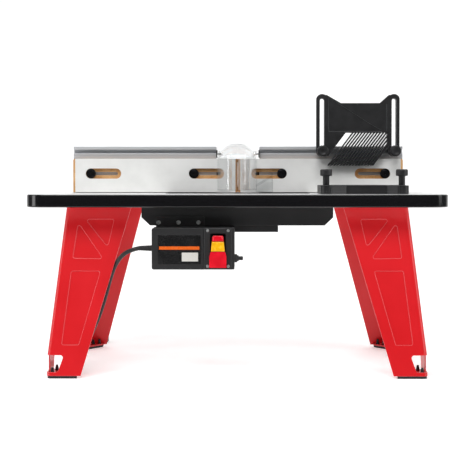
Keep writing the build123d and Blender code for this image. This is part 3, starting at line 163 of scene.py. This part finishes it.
def surface_finish(
    name, dark, light, rough, grain_mm, grain_depth_mm, cloud_mm=60, stretch=(1, 1, 1), edge=None, **values
):
    """Cloudy colour between two hex values, fine grain as bump, uneven roughness, and, when edge is given,
    a painted highlight in that colour along sharp edges.
    """
    material, tree, place, shader = start_material(name, **values)
    clouds = noise(tree, place, cloud_mm, stretch)
    grain = noise(tree, place, grain_mm, stretch, 2.0)
    colour = mix(tree, spread(tree, clouds, 0.0, 1.0), linear(dark), linear(light))
    patches = add(tree, "Math", {0: clouds, 1: grain}, operation="MULTIPLY_ADD")
    patches.inputs[2].default_value = 0.25
    rounded, edges = edge_share(tree, EDGE_ROUNDING)
    # Where an edge colour is given, sharp edges are painted in it: a painted highlight along every edge,
    # seen from any side.
    if edge is not None:
        colour = mix(tree, edges, colour, linear(edge))
    relief = {"Height": grain, "Strength": 1.0, "Distance": grain_depth_mm * MM, "Normal": rounded}
    bump = add(tree, "Bump", relief)
    tree.links.new(colour, shader.inputs["Base Color"])
    tree.links.new(spread(tree, patches.outputs[0], *rough), shader.inputs["Roughness"])
    tree.links.new(bump.outputs[0], shader.inputs["Normal"])
    return material, tree, place, shader


# %% [markdown]
# ## Finishes
# Each finish is named for what it is on the real table and how its surface was made. Typical values come
# first: plastics and paints have an IOR near 1.5 and no metal, bare metals are fully metallic.

# %% Painted and plated metal
# Polyester powder coat over pressed steel: deep red, fairly glossy, with the faint orange peel that
# powder leaves when it melts, about 2 mm from crest to crest.
# The pale pink edge colour is a painted highlight along every edge of the pressings and bends.
red_powder_coat = surface_finish(
    "red_powder_coat_on_steel", "D20713", "DA0A18", (0.30, 0.38), 2.2, 0.012, 90,
    edge="F08488", IOR=1.5, Coat_Weight=0.15, Coat_Roughness=0.2,
)[0]
# Fine-textured black powder coat: a satin sheet with a sandy touch.
# Its dark grey edge colour is a painted highlight along every sharp edge.
black_powder_coat = surface_finish(
    "black_powder_coat_on_steel", "08080A", "0E0E10", (0.40, 0.50), 0.7, 0.02, 40, edge="2E2E30", IOR=1.5
)[0]
# Bright zinc plate: pale bluish metal, cloudy from handling.
zinc_plate = surface_finish(
    "bright_zinc_plated_steel", "9A9C9B", "BFC1C0", (0.22, 0.40), 0.9, 0.012, 8, Metallic=1.0
)[0]
# Black oxide with oil: nearly black metal with a soft sheen.
black_oxide = surface_finish(
    "black_oxide_steel", "1C1C1E", "29292B", (0.26, 0.38), 0.6, 0.01, 6, Metallic=0.85
)[0]
# Clear anodised extrusion: pale satin metal with die lines that run its whole length, along X.
DIE_LINES = (400, 1, 1)
anodised_aluminium = surface_finish(
    "clear_anodised_aluminium", "C9CCD0", "DDDFE2", (0.40, 0.52), 0.5, 0.02, 6, DIE_LINES, Metallic=0.6
)[0]

# %% Plastics and rubber
# PVC edge band: drawn through a hot die, so it is glossy, with long shallow waves.
pvc_edge_band = surface_finish(
    "glossy_pvc_edge_band", "060608", "0B0B0E", (0.08, 0.16), 14, 0.05, 60, (4, 4, 1), IOR=1.53
)[0]
# Spark-eroded ABS: the even, fine texture of switch boxes, drawn at half a millimetre so that it shows.
# Its grey edge colour is a painted highlight along every sharp edge.
textured_abs = surface_finish(
    "textured_black_abs", "0C0C0E", "131315", (0.46, 0.58), 0.5, 0.02, 25, edge="3A3A3C", IOR=1.54
)[0]
# Glass-filled nylon: black with a slightly grey bloom and a coarser moulded skin.
# Its pale grey edge colour is a painted highlight along every sharp edge.
filled_nylon = surface_finish(
    "glass_filled_black_nylon", "101012", "19191B", (0.38, 0.52), 0.8, 0.02, 12, edge="55585A", IOR=1.53
)[0]
# Phenolic plate: hard, dense and satin, with faint sanding marks.
phenolic_plate = surface_finish(
    "black_phenolic_plate", "131314", "1B1B1D", (0.30, 0.42), 0.6, 0.01, 20, (6, 1, 1), IOR=1.58
)[0]
# Polished ABS for the switch: glossy, evenly coloured, with moulding flow just visible.
red_abs = surface_finish(
    "glossy_red_abs", "D80B22", "EE1029", (0.16, 0.24), 5, 0.01, 15, IOR=1.54, Coat_Weight=0.3
)[0]
yellow_abs = surface_finish(
    "glossy_yellow_abs", "F2AE08", "FFC313", (0.20, 0.30), 5, 0.01, 12, IOR=1.54, Coat_Weight=0.2
)[0]
# Moulded rubber: dull, dark grey-black, with faint cloudy patches.
moulded_rubber = surface_finish(
    "moulded_black_rubber", "151516", "232324", (0.62, 0.80), 0.5, 0.03, 10, IOR=1.52
)[0]
# Soft PVC jacket of the lead: satin, with a slight orange skin.
pvc_jacket = surface_finish(
    "soft_black_pvc_jacket", "101011", "19191A", (0.34, 0.48), 1.2, 0.02, 18, IOR=1.53
)[0]
# Solid-colour polycarbonate sheet has an IOR of 1.585; handling leaves it very slightly hazy.
clear_polycarbonate, tree, place, shader = start_material(
    "clear_polycarbonate", Transmission_Weight=1.0, IOR=1.585
)
sheet_edges = edge_share(tree, 1.2 * MM)[1]
# Base colour turns dark grey along the sheet's edges: painted shade standing in for the dark outlines that
# refraction gives clear sheet.
tree.links.new(mix(tree, sheet_edges, linear("F2F6F7"), linear("4A4E50")), shader.inputs["Base Color"])
# Clear sheet lets most light straight through, so it throws only a faint shadow; its edges look solid.
sheet_body = add(tree, "MapRange", {"Value": sheet_edges, "To Min": 0.34, "To Max": 0.95})
tree.links.new(sheet_body.outputs[0], shader.inputs["Alpha"])
haze = noise(tree, place, 9, detail=4)
tree.links.new(spread(tree, haze, 0.015, 0.07), shader.inputs["Roughness"])
ripple = add(tree, "Bump", {"Height": noise(tree, place, 30), "Strength": 1.0, "Distance": 0.05 * MM})
tree.links.new(ripple.outputs[0], shader.inputs["Normal"])

# %% [markdown]
# ## Faced boards
# The table top and the fence faces are fibreboard with a hard melamine skin on two sides. Where the board
# was cut, its brown fibres show. The skin is under a millimetre thick, so a board is white or pale
# only next to its two outer planes. The material finds those planes from the object's own coordinates.

# %% Melamine faced fibreboard
SKIN = 0.35 * MM


def faced_board(name, axis, low, high, skin_dark, skin_light, fleck_mm):
    """Fibreboard whose skin shows within SKIN of the planes low and high across one axis."""
    material, tree, place, shader = surface_finish(
        name, skin_dark, skin_light, (0.26, 0.36), fleck_mm, 0.012, 45, IOR=1.5
    )
    split = add(tree, "SeparateXYZ", {"Vector": place})
    middle, half = (low + high) / 2, (high - low) / 2
    offset = add(tree, "Math", {0: split.outputs[axis], 1: middle}, operation="SUBTRACT")
    distance = add(tree, "Math", {0: offset.outputs[0]}, operation="ABSOLUTE")
    core = add(tree, "Math", {0: distance.outputs[0], 1: half - SKIN}, operation="LESS_THAN").outputs[0]
    fibres = noise(tree, place, 1.1, detail=5)
    tones = noise(tree, place, 22)
    fibre_mix = add(tree, "Math", {0: fibres, 1: tones}, operation="ADD")
    halved = add(tree, "Math", {0: fibre_mix.outputs[0], 1: 0.5}, operation="MULTIPLY")
    fibre_share = spread(tree, halved.outputs[0], 0, 1, 0.12)
    fibre_colour = mix(tree, fibre_share, linear("B9864F"), linear("DDB27E"))
    skin_colour = shader.inputs["Base Color"].links[0].from_socket
    skin_rough = shader.inputs["Roughness"].links[0].from_socket
    tree.links.new(mix(tree, core, skin_colour, fibre_colour), shader.inputs["Base Color"])
    rough = add(tree, "MapRange", {"Value": core, "To Min": skin_rough, "To Max": 0.85})
    tree.links.new(rough.outputs[0], shader.inputs["Roughness"])
    return material


face_low, face_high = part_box("face_left")
top_low, top_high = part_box("tabletop")
white_face = faced_board("white_melamine_fence_face", 1, face_low.y, face_high.y, "EDEDEB", "F6F6F4", 0.8)
pale_top = faced_board("pale_laminate_table_top", 2, top_low.z, top_high.z, "EDEFED", "F4F5F4", 1.4)

# %% [markdown]
# ## Rating plate
# The real plate is printed with a maker's words. Here it is a plain black plate with one orange bar and
# one blank pale box, drawn by comparing the plate's coordinates with four edges each.

# %% Plate print


def inside_box(tree, split, low, high):
    """One where X and Z both lie between two corners, and zero outside."""
    share = None
    for axis, edge, rule in (
        ("X", low[0], "GREATER_THAN"), ("X", high[0], "LESS_THAN"),
        ("Z", low[1], "GREATER_THAN"), ("Z", high[1], "LESS_THAN"),
    ):
        test = add(tree, "Math", {0: split.outputs[axis], 1: edge}, operation=rule).outputs[0]
        if share is not None:
            test = add(tree, "Math", {0: share, 1: test}, operation="MULTIPLY").outputs[0]
        share = test
    return share


plate_low, plate_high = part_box("label_plate")
plate_wide, plate_tall = plate_high.x - plate_low.x, plate_high.z - plate_low.z
printed_plate, tree, place, shader = surface_finish(
    "printed_black_plate", "0D0D0E", "151516", (0.22, 0.32), 1.5, 0.006, 20, IOR=1.5
)
split = add(tree, "SeparateXYZ", {"Vector": place})
bar = inside_box(
    tree, split,
    (plate_low.x + 0.03 * plate_wide, plate_low.z + 0.50 * plate_tall),
    (plate_high.x - 0.03 * plate_wide, plate_low.z + 0.61 * plate_tall),
)
blank = inside_box(
    tree, split,
    (plate_low.x + 0.56 * plate_wide, plate_low.z + 0.10 * plate_tall),
    (plate_high.x - 0.06 * plate_wide, plate_low.z + 0.40 * plate_tall),
)
black = shader.inputs["Base Color"].links[0].from_socket
with_bar = mix(tree, bar, black, linear("E8651A"))
tree.links.new(mix(tree, blank, with_bar, linear("D8D6D0")), shader.inputs["Base Color"])

# %% [markdown]
# ## Finishes on the CAD parts
# Each material is given to the nodes that are made of it.

# %% Assign finishes
finished = {
    red_powder_coat: [n for n in nodes if n.startswith("leg_") and n != "leg_bolts"],
    black_powder_coat: ["front_apron", "rear_apron", "switch_bracket", "guard_arms"],
    zinc_plate: ["leg_bolts", "apron_screws", "hood_screws", "fence_bolts", "face_nuts", "guard_pins",
                 "switch_screws", "bezel_screws", "fence_board_bolts", "table_board_bolts"],
    black_oxide: ["face_bolts", "track_screws", "plate_screws"],
    anodised_aluminium: ["mitre_track", "fence_extrusion_left", "fence_extrusion_right"],
    pvc_edge_band: ["edge_band"],
    textured_abs: ["switch_housing", "switch_cover", "switch_bezel", "switch_mechanism", "outlet",
                   "breaker_body", "breaker_button", "dust_hood"],
    filled_nylon: ["fence_featherboard", "table_featherboard", "fence_knob_left", "fence_knob_right",
                   "fence_board_knob_left", "fence_board_knob_right", "table_board_knob_left",
                   "table_board_knob_right"],
    phenolic_plate: ["insert_plate", "insert_ring"],
    red_abs: ["switch_rocker"],
    yellow_abs: ["safety_key"],
    moulded_rubber: [n for n in nodes if n.startswith("foot_pad")] + ["strain_relief", "plug", "cord_tie"],
    pvc_jacket: ["power_cord", "cord_coil"],
    clear_polycarbonate: ["guard_hood", "guard_wing"],
    white_face: ["face_left", "face_right"],
    pale_top: ["tabletop"],
    printed_plate: ["label_plate"],
}
for material, names in finished.items():
    for name in names:
        for material_slot in nodes[name].material_slots:
            material_slot.material = material
print("CAD nodes without a finish:", sorted(set(nodes) - {n for names in finished.values() for n in names}))

# %% [markdown]
# ## Mains lead
# A lead is one length of something flexible, so it is one smooth curve: a NURBS line through listed
# points, thickened to its real diameter. It leaves the strain relief straight, falls behind the front
# leg, and runs back along the bench to a tied coil.
#
# The coil has three turns, a diameter apart: one outside, one inside, then a climb on to the
# second layer and out again. A third-order NURBS passes inside its points, so the turns' points
# stand a little further out.

# %% Lead
CORD_DIAMETER = 8.5 * MM
FLOOR_LINE = 4.45 * MM
lead_route = [
    (-0.192, -0.174, 0.2497),
    (-0.209, -0.1736, 0.246),
    (-0.228, -0.1685, 0.2345),
    (-0.243, -0.1595, 0.212),
    (-0.253, -0.153, 0.183),
    (-0.262, -0.1495, 0.150),
    (-0.273, -0.148, 0.116),
    (-0.288, -0.145, 0.082),
    (-0.303, -0.138, 0.048),
    (-0.321, -0.121, 0.019),
    (-0.342, -0.088, FLOOR_LINE),
    (-0.354, -0.032, FLOOR_LINE),
    (-0.359, 0.040, FLOOR_LINE),
    (-0.371, 0.110, FLOOR_LINE),
    (-0.388, 0.170, FLOOR_LINE),
    (-0.412, 0.228, FLOOR_LINE),
]
COIL_CENTRE = np.array((-0.367, 0.288))
INNER_TURN = 47 * MM
OUTER_TURN = INNER_TURN + CORD_DIAMETER
COIL_TURNS = 3
POINTS_PER_TURN = 16


def smooth_step(turns, begin, end):
    """Zero before begin, one after end, and the cubic 3t^2 - 2t^3 in between."""
    t = np.clip((turns - begin) / (end - begin), 0, 1)
    return t * t * (3 - 2 * t)


def coil_points():
    """Clockwise turns from the left: radius steps in, then out; height climbs one diameter between."""
    turns = np.arange(COIL_TURNS * POINTS_PER_TURN + 1) / POINTS_PER_TURN
    inward = smooth_step(turns, 0.8, 1.0) - smooth_step(turns, 2.4, 2.6)
    radius = OUTER_TURN + (INNER_TURN - OUTER_TURN) * inward
    radius /= 0.75 + 0.25 * np.cos(2 * np.pi / POINTS_PER_TURN)
    angle = np.pi - 2 * np.pi * turns
    height = FLOOR_LINE + CORD_DIAMETER * smooth_step(turns, 1.6, 1.8)
    flat = COIL_CENTRE + radius[:, None] * np.stack([np.cos(angle), np.sin(angle)], 1)
    return np.column_stack([flat, height])


coil_left = COIL_CENTRE[0] - OUTER_TURN
tail_height = FLOOR_LINE + 3 * MM
tail_route = [
    (coil_left, 0.312, FLOOR_LINE + CORD_DIAMETER - 1 * MM),
    (coil_left + 1 * MM, 0.338, tail_height),
    (coil_left + 2 * MM, 0.360, tail_height),
]


def nurbs_cord(name, points, diameter):
    """A thick open NURBS curve of the third order that begins and ends at its end points."""
    data = bpy.data.curves.new(name, "CURVE")
    data.dimensions = "3D"
    data.bevel_depth = diameter / 2
    data.bevel_resolution = 5
    data.resolution_u = 10
    data.use_fill_caps = True
    spline = data.splines.new("NURBS")
    spline.points.add(len(points) - 1)
    spline.points.foreach_set("co", np.column_stack([points, np.ones(len(points))]).ravel())
    spline.order_u = 3
    spline.use_endpoint_u = True
    cord = bpy.data.objects.new(name, data)
    bpy.context.scene.collection.objects.link(cord)
    return cord


cord_points = np.vstack([lead_route, coil_points(), tail_route])
mains_lead = nurbs_cord("mains_lead", cord_points, CORD_DIAMETER)
mains_lead.data.materials.append(pvc_jacket)
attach(mains_lead, "table")
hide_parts("power_cord", "cord_coil")
route_length = np.linalg.norm(np.diff(cord_points, axis=0), axis=1).sum()
print("route in mm:", round(float(route_length / MM)))

# %% [markdown]
# ## Knobs and strain relief
# These are turned shapes: one outline of radius against height, spun round its axis. A second rule
# changes the radius with the angle, which gives the knobs their finger flutes and the strain relief its
# six-sided collar. The axis points where the CAD piece points, and the place comes from its box.

# %% Turned pieces
SPIN_STEPS = 96


def turned(name, outline, swell):
    """Outline rows of (radius, height) spun about +Z; swell(angle, radius, height) scales each radius."""
    radius, height = np.array(outline).T[:, :, None] * MM
    angle = 2 * np.pi * np.arange(SPIN_STEPS) / SPIN_STEPS
    wide = (radius * swell(angle, radius / MM, height / MM))[1:-1]
    level = np.broadcast_to(height[1:-1], wide.shape)
    rings = np.stack([wide * np.cos(angle), wide * np.sin(angle), level], -1).reshape(-1, 3)
    points = np.vstack([rings, [[0, 0, height[0, 0]], [0, 0, height[-1, 0]]]])
    start = np.arange(len(wide) - 1)[:, None] * SPIN_STEPS
    here = np.arange(SPIN_STEPS)
    ahead = (here + 1) % SPIN_STEPS
    sides = [start + here, start + ahead, start + SPIN_STEPS + ahead, start + SPIN_STEPS + here]
    faces = np.stack(sides, -1).reshape(-1, 4).tolist()
    last = len(rings) - SPIN_STEPS
    faces += [(len(rings), b, a) for a, b in zip(here.tolist(), ahead.tolist())]
    faces += [(last + a, last + b, len(rings) + 1) for a, b in zip(here.tolist(), ahead.tolist())]
    return name, points, faces


def place_piece(shape, turn, origin, finish, body, node):
    """Turns the shape's points by three rows of axes, moves them to their origin, and makes the piece."""
    name, points, faces = shape
    mesh = bpy.data.meshes.new(name)
    mesh.from_pydata((points @ np.array(turn).T + np.array(origin)).tolist(), [], faces)
    mesh.shade_smooth()
    mesh.materials.append(finish)
    piece = bpy.data.objects.new(name, mesh)
    bpy.context.scene.collection.objects.link(piece)
    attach(piece, body)
    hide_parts(node)


UPWARD = ((1, 0, 0), (0, 1, 0), (0, 0, 1))
TOWARDS_OPERATOR = ((1, 0, 0), (0, 0, -1), (0, 1, 0))
TO_THE_LEFT = ((0, 0, -1), (0, 1, 0), (1, 0, 0))
knob_outline = [
    (0, 0), (6.0, 0), (6.4, 0.1), (6.5, 0.6), (6.5, 17.0), (6.7, 17.8), (7.6, 18.4),
    (10.4, 18.6), (11.4, 19.0), (11.9, 19.8), (12.0, 21.0), (12.0, 24.5), (12.0, 28.6),
    (11.8, 30.2), (11.1, 31.2), (10.0, 31.8), (8.6, 32.0), (7.2, 31.9), (6.4, 31.5),
    (5.8, 31.2), (0, 31.2),
]


def flutes(angle, radius, height):
    """Eight shallow hollows, cut where the outline is wider than the stem: 6% at the rim."""
    rim = np.clip((radius - 8) / 3, 0, 1)
    return 1 - 0.06 * rim * np.clip(np.cos(8 * angle), 0, 1) ** 2


def collar(angle, radius, height):
    """Six flats round the first 5 mm: the radius there is the flat's distance over the cosine."""
    turn = np.mod(angle, np.pi / 3) - np.pi / 6
    hexagon = np.cos(np.pi / 6) / np.cos(turn)
    return np.where(height < 5.05, hexagon, 1.0)


hand_knobs = [name for name in nodes if "_board_knob_" in name]
for name in hand_knobs:
    low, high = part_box(name)
    middle = (low + high) / 2
    turn, base = UPWARD, (middle.x, middle.y, low.z)
    if name.startswith("fence"):
        turn, base = TOWARDS_OPERATOR, (middle.x, high.y, middle.z)
    knob = turned(name + "_fluted", knob_outline, flutes)
    place_piece(knob, turn, base, filled_nylon, name, name)

# %% Strain relief
relief_low, relief_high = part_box("strain_relief")
RELIEF_LENGTH = (relief_high.x - relief_low.x) / MM
rib_heights = np.linspace(6.5, RELIEF_LENGTH - 1.5, 40)
taper = 6.2 - 1.45 * (rib_heights - 5) / (RELIEF_LENGTH - 5)
rib_radii = taper - 0.55 * (0.5 + 0.5 * np.cos(2 * np.pi * (rib_heights - 6.5) / 3.4))
relief_outline = [(0, 0), (9.2, 0), (9.6, 0.4), (9.6, 4.6), (9.2, 5.0), (6.2, 5.1)]
relief_outline += list(zip(rib_radii.tolist(), rib_heights.tolist()))
relief_outline += [(4.9, RELIEF_LENGTH - 1.0), (4.75, RELIEF_LENGTH)]
relief_outline += [(4.3, RELIEF_LENGTH), (0, RELIEF_LENGTH)]
relief = turned("strain_relief_ribbed", relief_outline, collar)
relief_at = (relief_high.x, (relief_low.y + relief_high.y) / 2, (relief_low.z + relief_high.z) / 2)
place_piece(relief, TO_THE_LEFT, relief_at, moulded_rubber, "table", "strain_relief")

# %% [markdown]
# ## Floor and light
# A white paper sweep runs under the table and up behind it, on the grey floor of a small studio.
# The paper ends just in front of the table, so upright black faces mirror the dim room and stay black.
# One large soft light hangs in front and above, with weaker ones at the sides and behind.

# %% Studio
SWEEP_WIDTH = 9.0
SWEEP_FRONT = -1.3
SWEEP_WALL = 3.2
SWEEP_BEND = 1.5


def sheet_of(name, x, y, z, finish):
    """A sheet as wide as x, whose outline from front to back goes through y and z."""
    count = len(y)
    points = np.stack(np.broadcast_arrays(np.array(x)[:, None], y, z), -1).reshape(-1, 3)
    first = np.arange(count - 1)
    faces = np.stack([first, first + count, first + count + 1, first + 1], 1)
    mesh = bpy.data.meshes.new(name)
    mesh.from_pydata(points.tolist(), [], faces.tolist())
    mesh.shade_smooth()
    mesh.materials.append(finish)
    made = bpy.data.objects.new(name, mesh)
    bpy.context.scene.collection.objects.link(made)


paper = start_material(
    "white_paper", Roughness=0.9, Base_Color=linear("F6F6F6"),
    Emission_Color=linear("FFFFFF"), Emission_Strength=0.38,
)[0]
concrete = start_material("grey_studio_floor", Roughness=0.85, Base_Color=linear("3C3C3E"))[0]
quarter = np.linspace(0, np.pi / 2, 24)
sweep_y = [SWEEP_FRONT, *(SWEEP_WALL - SWEEP_BEND + SWEEP_BEND * np.sin(quarter)), SWEEP_WALL]
sweep_z = [0.0, *(SWEEP_BEND - SWEEP_BEND * np.cos(quarter)), 6.0]
sheet_of("paper_sweep", (-SWEEP_WIDTH / 2, SWEEP_WIDTH / 2), np.array(sweep_y), np.array(sweep_z), paper)
sheet_of("studio_floor", (-9, 9), np.array([-9.0, 9.0]), np.array([-0.004, -0.004]), concrete)


def soft_light(name, place, aim, size, watts):
    """A rectangular area light at a place, turned to face the aim point."""
    data = bpy.data.lights.new(name, "AREA")
    data.shape = "RECTANGLE"
    data.size, data.size_y = size
    data.energy = watts
    lamp = bpy.data.objects.new(name, data)
    direction = np.array(aim) - np.array(place)
    lamp.location = place
    flat = np.hypot(direction[0], direction[1])
    lamp.rotation_euler = (np.arctan2(flat, -direction[2]), 0, np.arctan2(-direction[0], direction[1]))
    bpy.context.scene.collection.objects.link(lamp)


TABLE_MIDDLE = (0.0, 0.0, 0.3)
soft_light("key", (-0.5, -2.0, 2.7), TABLE_MIDDLE, (2.4, 1.2), 66)
soft_light("fill_right", (2.6, -1.0, 1.2), TABLE_MIDDLE, (0.9, 1.8), 24)
soft_light("fill_left", (-2.6, -0.8, 1.0), TABLE_MIDDLE, (0.9, 1.8), 18)
soft_light("back", (0.0, 1.9, 2.6), TABLE_MIDDLE, (2.6, 1.0), 26)

world = bpy.data.worlds.new("room")
world.use_nodes = True
room = world.node_tree.nodes["Background"]
room.inputs["Color"].default_value = linear("FFFFFF")
room.inputs["Strength"].default_value = 0.15
bpy.context.scene.world = world
bpy.context.scene.view_settings.view_transform = "Standard"
